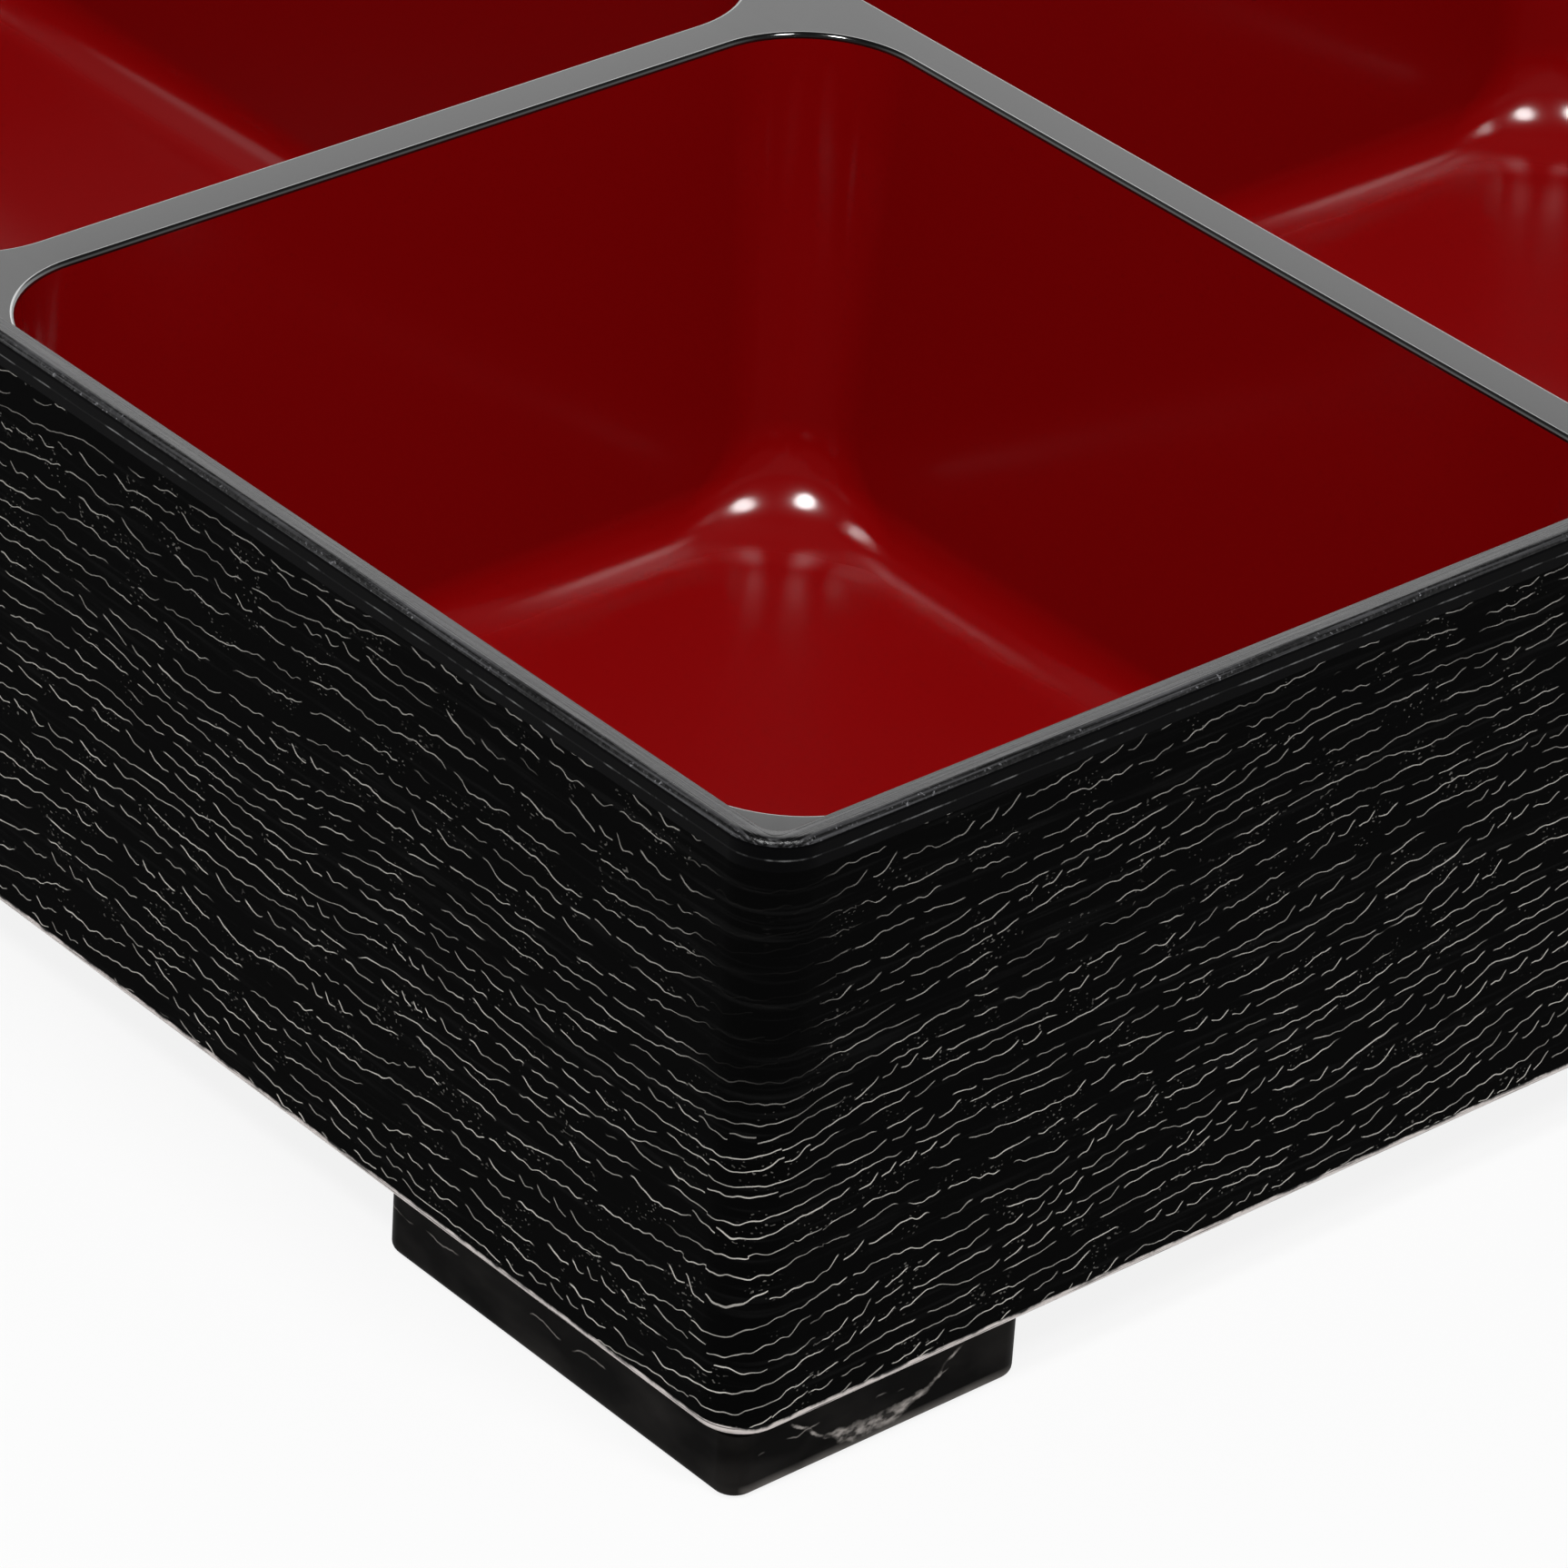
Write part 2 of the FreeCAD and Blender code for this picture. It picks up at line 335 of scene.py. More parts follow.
def seam_ticks(tree, surface, axes):
    """The mould's seam, which shows down the middle of each corner as a column of tiny ticks."""
    reach = summed(tree, maths(tree, "ABSOLUTE", axes["X"]), maths(tree, "ABSOLUTE", axes["Y"]))
    corner_reach = box_high.x + box_high.y - (2 - math.sqrt(2)) * CORNER_RADIUS
    seam = soft_ramp(tree, reach, corner_reach - SEAM_HALF_WIDTH, corner_reach - SEAM_CREST)
    ticks = soft_ramp(tree, mottle(tree, surface, TICK_LENGTHS), *TICK_RANGE)
    below_rim = ramp(tree, axes["Z"], *SEAM_FADE, 1, 0)
    return times(tree, seam, ticks, below_rim, TICK_SHARE)


def make_grained_black():
    """Black plastic, the grain's lines painted pale as highlights, and faint streaks and specks between
    them.
    """
    material, shader = plastic("grained_black", color=GRAIN_DARK, roughness=0.5, specular=0.005)
    tree, surface, axes = places_on(material)
    line_step = (GRAIN_LINE / 2, -GRAIN_LINE / 2, GRAIN_LINE)
    layer, along_run = grain_lines(tree, surface)
    layer_above, _ = grain_lines(tree, node(tree, "VectorMath", surface, line_step, operation="ADD"))
    line = maths(tree, "GREATER_THAN", layer_above, layer)
    in_run = times(tree, soft_ramp(tree, along_run, *RUN_START), ramp(tree, along_run, *RUN_END, 1, 0))
    corner = corner_share(tree, axes)
    unbroken = node(tree, "Mix", corner, None, in_run, 1)
    high_corner = times(tree, corner, soft_ramp(tree, axes["Z"], *CORNER_FADE))
    faded = ramp(tree, high_corner, 0, 1, 1, CORNER_FADED_SHARE)
    patches = mottle(tree, surface, GRAIN_PATCH_LENGTHS)
    # How strongly the lines' painted highlight shows, varying in patches.
    rub_and_highlight_share = ramp(tree, patches, *HIGHLIGHT_PATCH_RANGE, LEAST_HIGHLIGHT_SHARE, 1)
    under_rim = ramp(tree, axes["Z"], *UNDER_RIM_FADE, 1, UNDER_RIM_SHARE)
    lines = times(tree, line, unbroken, faded, rub_and_highlight_share, under_rim)

    faint = soft_ramp(tree, mottle(tree, surface, FAINT_STREAK_LENGTHS, detail=2), *FAINT_STREAK_RANGE)
    ground = mixed(tree, faint, GRAIN_DARK, GRAIN_STREAK)
    specks = soft_ramp(tree, mottle(tree, surface, SPECK_LENGTHS), *SPECK_RANGE)
    speck = times(tree, specks, soft_ramp(tree, patches, *SPECK_PATCH_RANGE), faded, SPECK_SHARE)
    marked = maths(tree, "MAXIMUM", lines, speck)
    marked = maths(tree, "MAXIMUM", marked, seam_ticks(tree, surface, axes))
    # The lines are painted pale as a painted highlight; the specks and seam ticks take the same pale.
    tree.links.new(mixed(tree, marked, ground, GRAIN_PALE), shader.inputs["Base Color"])
    relief = node(tree, "Bump", GRAIN_RELIEF_STRENGTH, GRAIN_RELIEF, None, marked)
    tree.links.new(relief, shader.inputs["Normal"])
    return material


# The rim: smooth plastic with fine streaks drawn along it. Its rounding is dented and scuffed.
STREAK_SPACING = 0.16 * MM
STREAK_LENGTH = 16 * MM
STREAK_HEIGHT = 0.2 * MM
STREAK_RANGE = (-0.1, 0.9)
STREAK_SHARE = 0.16
RIM_ROUGHNESS = 0.16
STREAK_ROUGHNESS = 0.4
RIM_CORNER_BLEND = 2 * MM
ROUNDING_START = 0.1 * MM
ROUNDING_END = 0.01 * MM
FLAT_SHARE = 0.08
ROUNDING_ROUGHNESS = 0.03
DENT_LENGTHS = (0.7 * MM, 0.7 * MM, 0.7 * MM)
DENT_SHARE = 6
SCUFF_LENGTHS = (0.28 * MM, 0.28 * MM, 0.28 * MM)
SCUFF_RANGE = (0.45, 0.8)
SCUFF_SHARE = 0.5
SCUFFED_PATCH_LENGTHS = (6 * MM, 6 * MM, 2 * MM)
SCUFFED_PATCH_RANGE = (-0.3, 0.6)
LEAST_SCUFFED_SHARE = 0.15
RIM_RELIEF = 0.014 * MM
RIM_RELIEF_STRENGTH = 0.4
RIM_DARK = (0.002, 0.002, 0.0022, 1)
RIM_PALE = (0.45, 0.45, 0.48, 1)


def make_rim_black():
    """The rim's black plastic, for its flat and the upper part of its rounding."""
    material, shader = plastic("rim_black", color=RIM_DARK, roughness=RIM_ROUGHNESS, specular=0.45)
    tree, surface, axes = places_on(material)
    from_end = maths(tree, "SUBTRACT", box_high.x, maths(tree, "ABSOLUTE", axes["X"]))
    from_side = maths(tree, "SUBTRACT", box_high.y, maths(tree, "ABSOLUTE", axes["Y"]))
    from_outside = maths(tree, "SMOOTH_MIN", from_end, from_side, RIM_CORNER_BLEND)
    along = maths(tree, "SUBTRACT", axes["Y"], axes["X"])
    drawn = node(tree, "CombineXYZ", times(tree, from_outside, 1 / STREAK_SPACING),
                 times(tree, along, 1 / STREAK_LENGTH), times(tree, axes["Z"], 1 / STREAK_HEIGHT))
    streaks = noise(tree, drawn, detail=3)
    on_rounding = ramp(tree, axes["Z"], box_high.z - ROUNDING_START, box_high.z - ROUNDING_END,
                       1, FLAT_SHARE)
    dents = times(tree, mottle(tree, surface, DENT_LENGTHS, detail=4), on_rounding, DENT_SHARE)
    scuffs = ramp(tree, mottle(tree, surface, SCUFF_LENGTHS, detail=3), *SCUFF_RANGE)
    patches = ramp(tree, mottle(tree, surface, SCUFFED_PATCH_LENGTHS, detail=1), *SCUFFED_PATCH_RANGE,
                   LEAST_SCUFFED_SHARE, 1)
    scuffed = times(tree, scuffs, on_rounding, patches, SCUFF_SHARE)
    streaked = ramp(tree, streaks, *STREAK_RANGE, 0, STREAK_SHARE)
    pale_share = maths(tree, "MAXIMUM", streaked, scuffed)
    tree.links.new(mixed(tree, pale_share, RIM_DARK, RIM_PALE), shader.inputs["Base Color"])
    roughness = summed(tree, ramp(tree, streaks, -1, 1, RIM_ROUGHNESS, STREAK_ROUGHNESS),
                       times(tree, on_rounding, ROUNDING_ROUGHNESS))
    tree.links.new(roughness, shader.inputs["Roughness"])
    relief = node(tree, "Bump", RIM_RELIEF_STRENGTH, RIM_RELIEF, None, summed(tree, streaks, dents))
    tree.links.new(relief, shader.inputs["Normal"])
    return material


# The smooth band under the rim, with the fine broken line that runs round it, a painted highlight.
BAND_LINE_HEIGHT = 58.4 * MM
BAND_LINE_EDGE = (0.03 * MM, 0.1 * MM)
BAND_SWAY = 0.06 * MM
BAND_SWAY_LENGTHS = (6 * MM, 6 * MM, 6 * MM)
BAND_DOT_LENGTHS = (2.4 * MM, 2.4 * MM, 9 * MM)
BAND_DOT_RANGE = (-0.1, 0.7)
BAND_DOT_SHARES = (0.02, 0.5)
BAND_DARK = (0.0015, 0.0015, 0.0017, 1)
BAND_LINE_HIGHLIGHT = (0.4, 0.4, 0.4, 1)


def make_smooth_black():
    """The smooth band's black plastic, with its fine line as a painted highlight."""
    material, shader = plastic("smooth_black", color=BAND_DARK, roughness=0.4, specular=0.02)
    tree, surface, axes = places_on(material)
    sway = times(tree, mottle(tree, surface, BAND_SWAY_LENGTHS, detail=2), BAND_SWAY)
    from_line = maths(tree, "SUBTRACT", summed(tree, axes["Z"], sway), BAND_LINE_HEIGHT)
    on_line = ramp(tree, maths(tree, "ABSOLUTE", from_line), *BAND_LINE_EDGE, 1, 0)
    dots = ramp(tree, mottle(tree, surface, BAND_DOT_LENGTHS, detail=4), *BAND_DOT_RANGE, *BAND_DOT_SHARES)
    # The fine line is a painted highlight, broken into dots.
    tree.links.new(mixed(tree, times(tree, on_line, dots), BAND_DARK, BAND_LINE_HIGHLIGHT),
                   shader.inputs["Base Color"])
    return material


# The base's rounded edge, painted pale up to a ragged line as the pale table's painted reflection.
REFLECTION_TOP = 1.12 * MM
REFLECTION_EDGE = (-0.2 * MM, 0.1 * MM)
RAGGED_LENGTHS = (1.8 * MM, 1.8 * MM, 9 * MM)
RAGGED_HEIGHT = 0.3 * MM
SPLIT_LENGTHS = (7 * MM, 7 * MM, 0.2 * MM)
SPLIT_RANGE = (-0.6, -0.1)
SPLIT_SHARE = 0.2
BASE_EDGE_DARK = (0.003, 0.003, 0.003, 1)
TABLE_REFLECTION_PALE = (0.8, 0.73, 0.7, 1)


def make_base_edge_black():
    """The base edge's black plastic, with the pale table's painted reflection along its rounding."""
    material, shader = plastic("base_edge_black", color=BASE_EDGE_DARK, roughness=0.3, specular=0.05)
    tree, surface, axes = places_on(material)
    ragged = times(tree, mottle(tree, surface, RAGGED_LENGTHS, detail=5), RAGGED_HEIGHT)
    # The pale share is a painted reflection of the pale table, which the rounded edge faces.
    reflection_from, reflection_to = (box_low.z + REFLECTION_TOP + edge for edge in REFLECTION_EDGE)
    table_reflection = ramp(tree, summed(tree, axes["Z"], ragged), reflection_from, reflection_to, 1, 0)
    whole = ramp(tree, mottle(tree, surface, SPLIT_LENGTHS, detail=3), *SPLIT_RANGE, SPLIT_SHARE, 1)
    tree.links.new(mixed(tree, times(tree, table_reflection, whole), BASE_EDGE_DARK, TABLE_REFLECTION_PALE),
                   shader.inputs["Base Color"])
    return material


grained = make_grained_black()
rim_black = make_rim_black()
smooth_band = make_smooth_black()
base_edge = make_base_edge_black()
moulded, _ = plastic("moulded_black", color=(0.004, 0.004, 0.004, 1), roughness=0.4, specular=0.2)

outer_box = start_piece("outer_box")
wall_top = box_high.z - RIM_OUTER_ROUNDING
wall_foot = box_low.z + BASE_EDGE_RADIUS
wall_height = box_high.z - box_low.z
wall_slope = WALL_LEAN / wall_height
grain_top = box_high.z - SMOOTH_BAND
rounded_sheet(box_low, box_high, wall_top, CORNER_RADIUS, CORNER_SEGMENTS)
sink([(drop * wall_slope, -drop) for drop in (wall_top - grain_top, grain_top - wall_foot)])
sink(arc(BASE_EDGE_RADIUS, -90, 0, EDGE_STEPS))

rounded_sheet(box_low, box_high, wall_top, CORNER_RADIUS, CORNER_SEGMENTS)
sink(arc(RIM_OUTER_ROUNDING, 90, 0, EDGE_STEPS))
bpy.ops.mesh.delete(type="ONLY_FACE")
mouth_inset = RIM_THICKNESS - RIM_INNER_ROUNDING
mouth_edge = Vector((mouth_inset, mouth_inset, 0))
mouth_radius = MOUTH_CORNER_RADIUS + RIM_INNER_ROUNDING
rounded_sheet(box_low + mouth_edge, box_high - mouth_edge, box_high.z, mouth_radius, CORNER_SEGMENTS)
hollow_height = wall_height - BOX_FLOOR_THICKNESS
hollow_run = hollow_height - RIM_INNER_ROUNDING - CAVITY_FILLET
sink(arc(RIM_INNER_ROUNDING, 0, -90, INNER_EDGE_STEPS))
sink([(hollow_run * WALL_LEAN / hollow_height, -hollow_run)])
sink(arc(CAVITY_FILLET, -90, 0, CAVITY_STEPS))
rim_level = box_high.z - MERGE_DISTANCE
select_where(outer_box, "EDGE", lambda edge: is_open(edge) and middle_of(edge).z > rim_level)
bpy.ops.mesh.bridge_edge_loops()


def is_base_edge(face):
    return box_low.z + MERGE_DISTANCE < middle_of(face).z < wall_foot


def is_outer_wall(face):
    place = middle_of(face)
    outside = abs(place.x) > box_high.x - RIM_THICKNESS or abs(place.y) > box_high.y - RIM_THICKNESS
    return outside and wall_foot < place.z < wall_top


give_finish(outer_box, moulded, lambda face: True)
give_finish(outer_box, smooth_band, lambda face: middle_of(face).z > wall_top)
give_finish(outer_box, rim_black, lambda face: middle_of(face).z > box_high.z - RIM_SHINE_DEPTH)
give_finish(outer_box, grained, is_outer_wall)
give_finish(outer_box, base_edge, is_base_edge)
give_finish(outer_box, smooth_band, lambda face: is_outer_wall(face) and middle_of(face).z > grain_top)
close_piece(outer_box)

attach(outer_box, "box")
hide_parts("box_body")

# The feet: flat black blocks of the same plastic, one under each corner of the base.
# They are moulded apart and bonded on, and glue has sagged out over the front right one.
FOOT_CORNER_RADIUS = 2 * MM
FOOT_CORNER_SEGMENTS = 10
FOOT_EDGE_RADIUS = 0.8 * MM
FOOT_EDGE_STEPS = 6
END_FACE = (133.2 * MM, 133.45 * MM)
EDGE_WEAR_REACH = (0.2 * MM, 1.3 * MM)
EDGE_WEAR_SHARE = 0.45
SIDE_WEAR_SHARE = 0.06
RUB_LENGTHS = (6 * MM, 6 * MM, 3 * MM)
RUB_RANGE = (-0.7, 0.7)
LEAST_RUB_SHARE = 0.25
HAIRLINE_HEIGHT = 3.9 * MM
HAIRLINE_EDGE = (0.03 * MM, 0.1 * MM)
HAIRLINE_SWAY = 0.9 * MM
HAIRLINE_SWAY_LENGTHS = (5 * MM, 5 * MM, 90 * MM)
HAIRLINE_PATCH_LENGTHS = (4 * MM, 4 * MM, 9 * MM)
HAIRLINE_PATCH_RANGE = (0.05, 0.4)
HAIRLINE_SHARE = 0.35
GLUE_MIDDLE = -89 * MM
GLUE_REACH = (8 * MM, 9 * MM)
GLUE_FACE = (133.3 * MM, 133.4 * MM)
GLUE_LOW = 1.4 * MM
GLUE_BOW = 0.05 / MM
GLUE_WAVER = 0.55 * MM
GLUE_WAVER_LENGTHS = (2.6 * MM, 2.6 * MM, 2.6 * MM)
GLUE_TAPER = (2 * MM, 5.5 * MM)
GLUE_WIDTHS = (1 * MM, 0.25 * MM)
GLUE_SOFT_EDGE = (0.3, 1)
GLUE_HOLE_LENGTHS = (1.8 * MM, 1.8 * MM, 1 * MM)
GLUE_HOLE_RANGE = (-0.3, 0.3)
GLUE_SHARES = (0.05, 0.75)
HAZE_LENGTHS = (9 * MM, 9 * MM, 5 * MM)
HAZE_RANGE = (-0.4, 1)
HAZE_SHARE = 0.03
FOOT_DARK = (0.003, 0.0028, 0.0026, 1)
FOOT_PALE = (0.5, 0.46, 0.43, 1)


def worn_low_edge(tree, surface, axes):
    """The wear along a foot's lower edge, which shows most on the box's two ends."""
    end_face = ramp(tree, maths(tree, "ABSOLUTE", axes["X"]), *END_FACE)
    rub_and_highlight_share = ramp(tree, mottle(tree, surface, RUB_LENGTHS, detail=2), *RUB_RANGE, LEAST_RUB_SHARE, 1)
    low_edge = ramp(tree, axes["Z"], *EDGE_WEAR_REACH, EDGE_WEAR_SHARE, 0)
    return times(tree, low_edge, rub_and_highlight_share, ramp(tree, end_face, 0, 1, SIDE_WEAR_SHARE, 1))


def hairline(tree, surface, axes):
    """A broken hairline scratch along a foot's sides."""
    sway = times(tree, mottle(tree, surface, HAIRLINE_SWAY_LENGTHS, detail=3), HAIRLINE_SWAY)
    from_line = maths(tree, "SUBTRACT", summed(tree, axes["Z"], sway), HAIRLINE_HEIGHT)
    on_line = ramp(tree, maths(tree, "ABSOLUTE", from_line), *HAIRLINE_EDGE, 1, 0)
    patches = mottle(tree, surface, HAIRLINE_PATCH_LENGTHS, detail=2)
    return times(tree, on_line, ramp(tree, patches, *HAIRLINE_PATCH_RANGE, 0, HAIRLINE_SHARE))


def sagged_glue(tree, surface, axes):
    """Glue that ran out of the joint and sagged in a bow, on the right end's front foot."""
    along = maths(tree, "SUBTRACT", axes["Y"], GLUE_MIDDLE)
    reach = maths(tree, "ABSOLUTE", along)
    bow = times(tree, along, along, GLUE_BOW)
    waver = times(tree, mottle(tree, surface, GLUE_WAVER_LENGTHS, detail=4), GLUE_WAVER)
    from_bow = maths(tree, "SUBTRACT", summed(tree, axes["Z"], waver), summed(tree, bow, GLUE_LOW))
    width = ramp(tree, reach, *GLUE_TAPER, *GLUE_WIDTHS)
    from_middle = maths(tree, "DIVIDE", maths(tree, "ABSOLUTE", from_bow), width)
    strand = ramp(tree, from_middle, *GLUE_SOFT_EDGE, 1, 0)
    holes = mottle(tree, surface, GLUE_HOLE_LENGTHS, detail=3)
    return times(tree, strand, ramp(tree, holes, *GLUE_HOLE_RANGE, *GLUE_SHARES),
                 ramp(tree, reach, *GLUE_REACH, 1, 0), ramp(tree, axes["X"], *GLUE_FACE))


def make_foot_black():
    """The feet's black plastic, with its worn edge, a hairline scratch, glue and a faint haze."""
    material, shader = plastic("foot_black", color=FOOT_DARK, roughness=0.4, specular=0.012)
    tree, surface, axes = places_on(material)
    marks = maths(tree, "MAXIMUM", worn_low_edge(tree, surface, axes), hairline(tree, surface, axes))
    marks = maths(tree, "MAXIMUM", marks, sagged_glue(tree, surface, axes))
    haze = ramp(tree, mottle(tree, surface, HAZE_LENGTHS, detail=4), *HAZE_RANGE, 0, HAZE_SHARE)
    tree.links.new(mixed(tree, summed(tree, marks, haze), FOOT_DARK, FOOT_PALE),
                   shader.inputs["Base Color"])
    return material


foot_black = make_foot_black()
cad_feet = [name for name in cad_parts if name.startswith("foot_")]
for name in cad_feet:
    foot_low, foot_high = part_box(name)
    foot = start_piece(f"{name}_block")
    rounded_sheet(foot_low, foot_high, foot_high.z, FOOT_CORNER_RADIUS, FOOT_CORNER_SEGMENTS)
    bpy.ops.mesh.duplicate()
    sink([(0, foot_low.z + FOOT_EDGE_RADIUS - foot_high.z)])
    sink(arc(FOOT_EDGE_RADIUS, -90, 0, FOOT_EDGE_STEPS))
    give_finish(foot, foot_black, lambda face: True)
    close_piece(foot)
    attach(foot, "box")
    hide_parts(name)

# The tray: one thin black moulding that drops into the box, with five pockets sunk from its top
# plate down to the box's floor. The pockets are sprayed red inside, up to a line under the lip.
TRAY_WALL = 1.5 * MM
TRAY_EDGE_ROUNDING = 0.3 * MM
POCKET_BORDER = 1.55 * MM
DIVIDER_WIDTH = 4.36 * MM
LIP_ROUNDING = 0.4 * MM
LIP_STEPS = 4
PAINT_LINE = 0.5 * MM
POCKET_CORNER_RADIUS = 10.9 * MM
POCKET_LEAN = 3.2 * MM
POCKET_FLOOR_THICKNESS = 2.3 * MM
POCKET_FLOOR_FILLET = 5.3 * MM
POCKET_CORNER_FILLET = 9.5 * MM
FRONT_ROW_WIDTH = 92.3 * MM
FRONT_RIGHT_LENGTH = 102.05 * MM
BACK_RIGHT_LENGTH = 117.2 * MM
BACK_MIDDLE_LENGTH = 68.04 * MM
POCKET_SEGMENTS = 20
FILLET_STEPS = 18
WALL_STEPS = 4
PLATE_SEGMENTS = 6
tray_low, tray_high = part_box("compartment_tray")
plate_bottom = tray_high.z - TRAY_WALL

left, right = tray_low.x + POCKET_BORDER, tray_high.x - POCKET_BORDER
front, back = tray_low.y + POCKET_BORDER, tray_high.y - POCKET_BORDER
front_row_back = front + FRONT_ROW_WIDTH
back_row_front = front_row_back + DIVIDER_WIDTH
front_divider = right - FRONT_RIGHT_LENGTH
back_divider = right - BACK_RIGHT_LENGTH
middle_left = back_divider - DIVIDER_WIDTH - BACK_MIDDLE_LENGTH
pockets = [
    (front_divider, right, front, front_row_back),
    (left, front_divider - DIVIDER_WIDTH, front, front_row_back),
    (back_divider, right, back_row_front, back),
    (middle_left, back_divider - DIVIDER_WIDTH, back_row_front, back),
    (left, middle_left - DIVIDER_WIDTH, back_row_front, back),
]


def leaning_wall(reach, slope, rise, stops):
    """The steps down a leaning wall, from the end of its lip past the stops, over its whole rise."""
    down = math.sin(math.atan(1 / slope))
    levels = [reach * down, *stops, rise]
    return [((low - high) * slope, high - low) for high, low in zip(levels, levels[1:])]


def foot_rings(side_fillet, corner_fillet, slope):
    """The rings round a pocket's foot: how far in and down from the end of the wall each lies, and
    how much its corner radius grows, because the corners are rounded more fully than the sides."""
    side = arc(side_fillet, -math.degrees(math.atan(1 / slope)), 0, FILLET_STEPS)
    wall_rise = corner_fillet + sum(step_up for _, step_up in side)
    wall = [(wall_rise * slope / WALL_STEPS, -wall_rise / WALL_STEPS)] * WALL_STEPS
    diagonal = math.sqrt(2)
    inward, drop = 0, 0
    rings = []
    for step_in, step_up in wall + side:
        inward = inward + step_in
        drop = drop - step_up
        rounding = corner_fillet - math.sqrt(max(0, corner_fillet**2 - drop**2))
        growth = (drop * slope + rounding - diagonal * inward) / (diagonal - 1)
        rings.append((inward, drop, growth))
    return rings


def tray_side(piece, edge_path, height, growth, wall_path, rings):
    """One side of the tray: its plate from the edge in, with the five pockets sunk into it."""
    rounded_sheet(tray_low, tray_high, plate_bottom, MOUTH_CORNER_RADIUS, PLATE_SEGMENTS)
    sink(edge_path)
    bpy.ops.mesh.delete(type="ONLY_FACE")
    wall_in = sum(step_in for step_in, _ in wall_path)
    wall_end = height + sum(step_up for _, step_up in wall_path)
    floor_level = wall_end - rings[-1][1]
    for x_low, x_high, y_low, y_high in pockets:
        low = Vector((x_low - growth, y_low - growth, 0))
        high = Vector((x_high + growth, y_high + growth, 0))
        corner = POCKET_CORNER_RADIUS + growth
        rounded_sheet(low, high, height, corner, POCKET_SEGMENTS)
        sink(wall_path)
        bpy.ops.mesh.delete(type="ONLY_FACE")
        for ring_in, drop, wider in rings:
            ring_edge = Vector((wall_in + ring_in, wall_in + ring_in, 0))
            ring_corner = corner - wall_in + wider
            rounded_sheet(low + ring_edge, high - ring_edge, wall_end - drop, ring_corner, POCKET_SEGMENTS)
            bpy.ops.mesh.delete(type="ONLY_FACE")
        select_where(piece, "EDGE", lambda edge: (
            is_open(edge) and middle_of(edge).z < wall_end + MERGE_DISTANCE))
        bpy.ops.mesh.bridge_edge_loops()
        select_where(piece, "EDGE", lambda edge: (
            is_open(edge) and middle_of(edge).z < floor_level + MERGE_DISTANCE))
        bpy.ops.mesh.edge_face_add()
    select_where(piece, "EDGE", lambda edge: is_open(edge) and middle_of(edge).z > height - MERGE_DISTANCE)
    bpy.ops.mesh.fill()


# The red lacquer: glossy on the walls, and rubbed a little dull on the pockets' floors.
LACQUER_RED = (0.245, 0.001, 0.0015, 1)
LACQUER_ROUGHNESS = 0.14
RUBBED_ROUGHNESS = 0.3
RUBBED_HEIGHT = 1.8 * MM
CLOUD_LENGTHS = (12 * MM, 12 * MM, 12 * MM)
CLOUD_ROUGHNESS = 0.015


def make_red_lacquer():
    """The dark red lacquer inside the pockets."""
    material, shader = plastic("red_lacquer", color=LACQUER_RED, roughness=LACQUER_ROUGHNESS, specular=0.5)
    tree, surface, axes = places_on(material)
    pocket_floor = tray_low.z + POCKET_FLOOR_THICKNESS
    rub_and_highlight_share = ramp(tree, axes["Z"], pocket_floor, pocket_floor + RUBBED_HEIGHT, 1, 0)
    dull = ramp(tree, rub_and_highlight_share, 0, 1, LACQUER_ROUGHNESS, RUBBED_ROUGHNESS)
    clouds = times(tree, mottle(tree, surface, CLOUD_LENGTHS, detail=3), CLOUD_ROUGHNESS)
    tree.links.new(summed(tree, dull, clouds), shader.inputs["Roughness"])
    return material


# The tray's black top plate is polished, and its lips shine more than the rest.
LIP_COAT_IOR = 1.8
red_lacquer = make_red_lacquer()
polished, _ = plastic("polished_black", color=(0.002, 0.002, 0.002, 1), roughness=0.16, specular=0.29)
lip_black, lip_shader = plastic("lip_black", color=(0.004, 0.004, 0.004, 1), roughness=0.12, specular=1)
lip_shader.inputs["Coat Weight"].default_value = 1
lip_shader.inputs["Coat IOR"].default_value = LIP_COAT_IOR

tray = start_piece("red_lined_tray")
shell_depth = plate_bottom - tray_low.z
shell_slope = POCKET_LEAN / (tray_high.z - tray_low.z)
shell_growth = TRAY_WALL - TRAY_WALL * shell_slope
shell_corner = POCKET_CORNER_FILLET + TRAY_WALL
shell_wall = leaning_wall(0, shell_slope, shell_depth - shell_corner, [])
shell_foot = foot_rings(POCKET_FLOOR_FILLET + TRAY_WALL, shell_corner, shell_slope)
tray_side(tray, [], plate_bottom, shell_growth, shell_wall, shell_foot)
give_finish(tray, moulded, lambda face: True)
bpy.ops.mesh.hide()

plate_edge = [(0, TRAY_WALL - TRAY_EDGE_ROUNDING)] + arc(TRAY_EDGE_ROUNDING, 90, 0, LIP_STEPS)
well_depth = tray_high.z - tray_low.z - POCKET_FLOOR_THICKNESS
well_slope = POCKET_LEAN / well_depth
steepness = math.degrees(math.atan(1 / well_slope))
lip_reach = LIP_ROUNDING * math.tan(math.radians(steepness / 2))
lip = arc(LIP_ROUNDING, 0, -steepness, LIP_STEPS)
wall = leaning_wall(lip_reach, well_slope, well_depth - POCKET_CORNER_FILLET, [PAINT_LINE])
well_foot = foot_rings(POCKET_FLOOR_FILLET, POCKET_CORNER_FILLET, well_slope)
tray_side(tray, plate_edge, tray_high.z, lip_reach, lip + wall, well_foot)
paint_level = tray_high.z - PAINT_LINE
plate_inside = tray_high - Vector((POCKET_BORDER, POCKET_BORDER, 0)) / 2


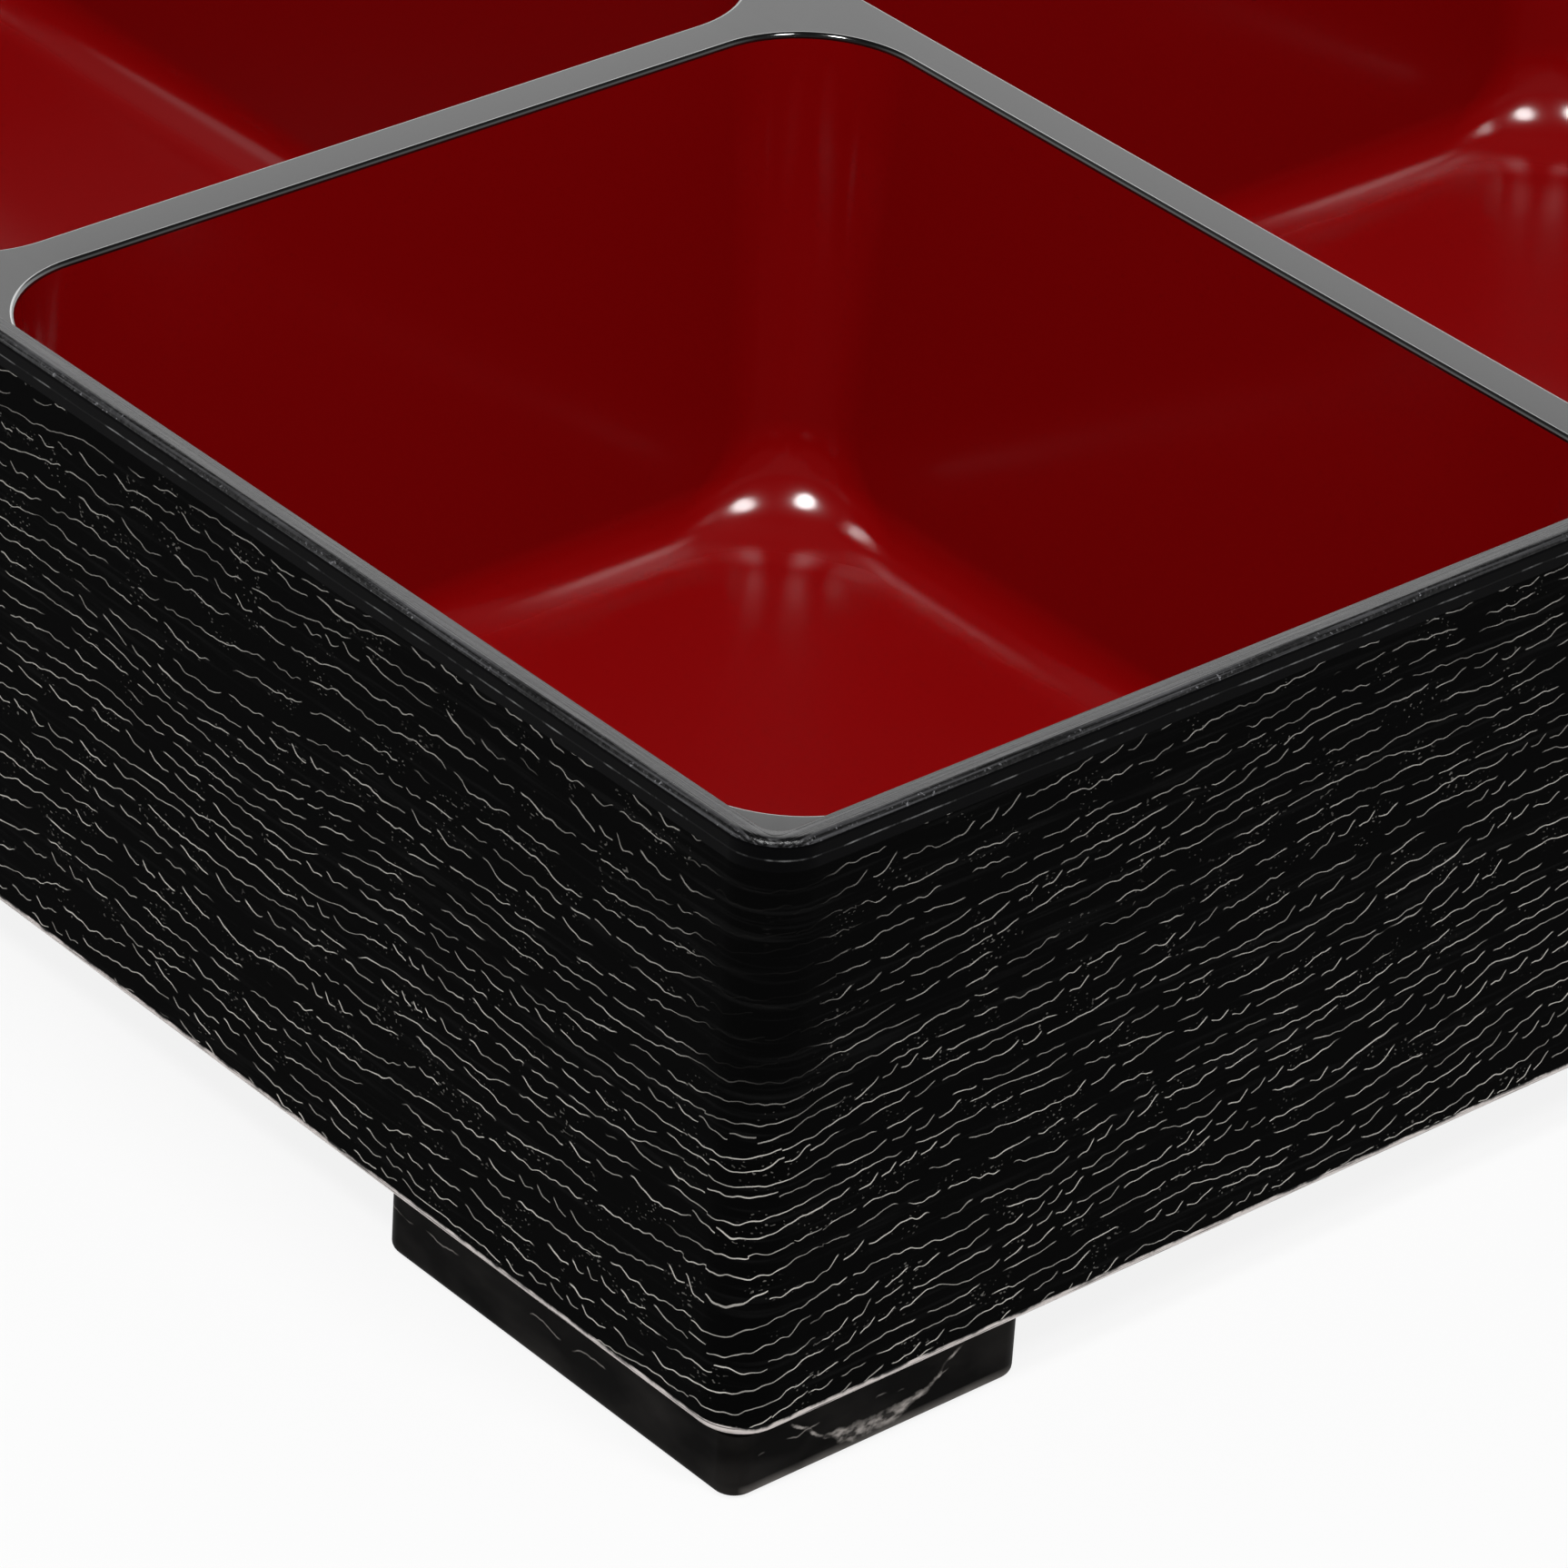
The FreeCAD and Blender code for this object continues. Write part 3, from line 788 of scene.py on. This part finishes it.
def is_in_pocket(face, level):
    """Whether a face lies below a level and inside the plate's outer edge."""
    place = middle_of(face)
    return place.z < level and abs(place.x) < plate_inside.x and abs(place.y) < plate_inside.y


give_finish(tray, polished, lambda face: True)
give_finish(tray, lip_black, lambda face: is_in_pocket(face, tray_high.z - MERGE_DISTANCE))
give_finish(tray, red_lacquer, lambda face: is_in_pocket(face, paint_level))
bpy.ops.mesh.reveal()
close_piece(tray)

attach(tray, "tray")
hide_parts("compartment_tray")

# The table and the backdrop: one pale sheet under the box, which shows white and keeps the box's
# soft shadow.
TABLE_SIZE = 6
TABLE_PALE = (0.85, 0.85, 0.85, 1)
TABLE_ROUGHNESS = 0.9
SHADOW_SHARE = 0.13
bpy.ops.object.select_all(action="DESELECT")
bpy.ops.mesh.primitive_plane_add(size=TABLE_SIZE)
table = bpy.context.object
table.name = "pale_table"


def seen_share(tree, light_path):
    """1 where the camera, a reflection or a clear material sees this, and 0 where light lands."""
    seen = maths(tree, "MAXIMUM", light_path.outputs["Is Camera Ray"], light_path.outputs["Is Glossy Ray"])
    return maths(tree, "MAXIMUM", seen, light_path.outputs["Is Transmission Ray"])


pale, pale_shader = plastic("pale_table", color=TABLE_PALE, roughness=TABLE_ROUGHNESS, specular=0)
tree = pale.node_tree
seen = seen_share(tree, tree.nodes.new("ShaderNodeLightPath"))
white = node(tree, "Emission", (1, 1, 1, 1), 1)
white_share = times(tree, seen, 1 - SHADOW_SHARE)
table_look = node(tree, "MixShader", white_share, pale_shader.outputs[0], white)
tree.links.new(table_look, tree.nodes["Material Output"].inputs["Surface"])
table.data.materials.append(pale)

# The room: white up to the height of the horizon wherever the camera or a reflection sees it, and
# dim above. Reflections find it dim on the side that the photograph was taken from. It sends a
# soft even light onto the object.
ROOM_LIGHT = 0.3
HORIZON_EDGE = (0.53, 0.6)
WALL_SHADE = 0.17
CEILING_EDGE = (0.74, 0.8)
CEILING_SHARE = 0.2
BACKDROP_WAY = (-0.74, 0.67, 0)
NEAR_TO_FAR = (-0.6, 0.7)
NEAR_SHARE = 0.08
world = bpy.data.worlds.new("studio")
bpy.context.scene.world = world
world.use_nodes = True
tree = world.node_tree
light_path = tree.nodes.new("ShaderNodeLightPath")
seen = seen_share(tree, light_path)
way = node(tree, "TexCoord")
backdrop = ramp(tree, axes_of(tree, way)["Z"], *HORIZON_EDGE, 1, WALL_SHADE)
ceiling = ramp(tree, axes_of(tree, way)["Z"], *CEILING_EDGE, 1, CEILING_SHARE)
towards_backdrop = node(tree, "VectorMath", way, BACKDROP_WAY, operation="DOT_PRODUCT").node
side = ramp(tree, towards_backdrop.outputs["Value"], *NEAR_TO_FAR, NEAR_SHARE, 1)
reflected = ramp(tree, light_path.outputs["Is Glossy Ray"], 0, 1, 1, side)
strength = ramp(tree, seen, 0, 1, ROOM_LIGHT, times(tree, backdrop, ceiling, reflected))
room = tree.nodes["Background"]
room.inputs["Color"].default_value = (1, 1, 1, 1)
tree.links.new(strength, room.inputs["Strength"])

# The lamps: soft boxes around the table, aimed at the box's near corner. Each is given by the
# azimuth and elevation it lies at from there, its distance, its size and how bright its face is.
LAMP_TARGET = Vector((0.06, -0.05, 0.03))
lamps = {
    "back_softbox": (137.8, 31, 1.3, 0.8, 0.45, 1.6),
    "left_softbox": (-68, 60, 1.05, 0.2, 0.28, 37),
    "right_softbox": (1, 60, 1.05, 0.2, 0.28, 25),
}
for name, (azimuth, elevation, distance, width, height, brightness) in lamps.items():
    aim = Matrix.Rotation(math.radians(azimuth), 3, "Z") @ Matrix.Rotation(-math.radians(elevation), 3, "Y")
    place = LAMP_TARGET + aim @ Vector((distance, 0, 0))
    facing = (LAMP_TARGET - place).to_track_quat("-Z", "Y")
    bpy.ops.object.light_add(type="AREA", location=place, rotation=facing.to_euler())
    lamp = bpy.context.object
    lamp.name = name
    lamp.data.shape = "ELLIPSE"
    lamp.data.size = width
    lamp.data.size_y = height
    face_area = math.pi * width * height / 4
    lamp.data.energy = brightness * math.pi * face_area

# The camera, where the photograph was taken from: close to the front right corner and above it.
CAMERA_PLACE = Vector((0.52426, -0.45836, 0.38829))
CAMERA_AZIMUTH = 47.701
CAMERA_ELEVATION = 31.490
CAMERA_ROLL = 3.791
CAMERA_LENS = 196.03
CAMERA_SENSOR = 36
bpy.ops.object.camera_add()
camera = bpy.context.object
turn = Matrix.Rotation(math.radians(CAMERA_AZIMUTH), 4, "Z")
tilt = Matrix.Rotation(math.radians(90 - CAMERA_ELEVATION), 4, "X")
roll = Matrix.Rotation(math.radians(CAMERA_ROLL), 4, "Z")
camera.matrix_world = Matrix.Translation(CAMERA_PLACE) @ turn @ tilt @ roll
camera.data.sensor_width = CAMERA_SENSOR
camera.data.lens = CAMERA_LENS
bpy.context.scene.camera = camera
bpy.context.scene.view_settings.view_transform = "Standard"
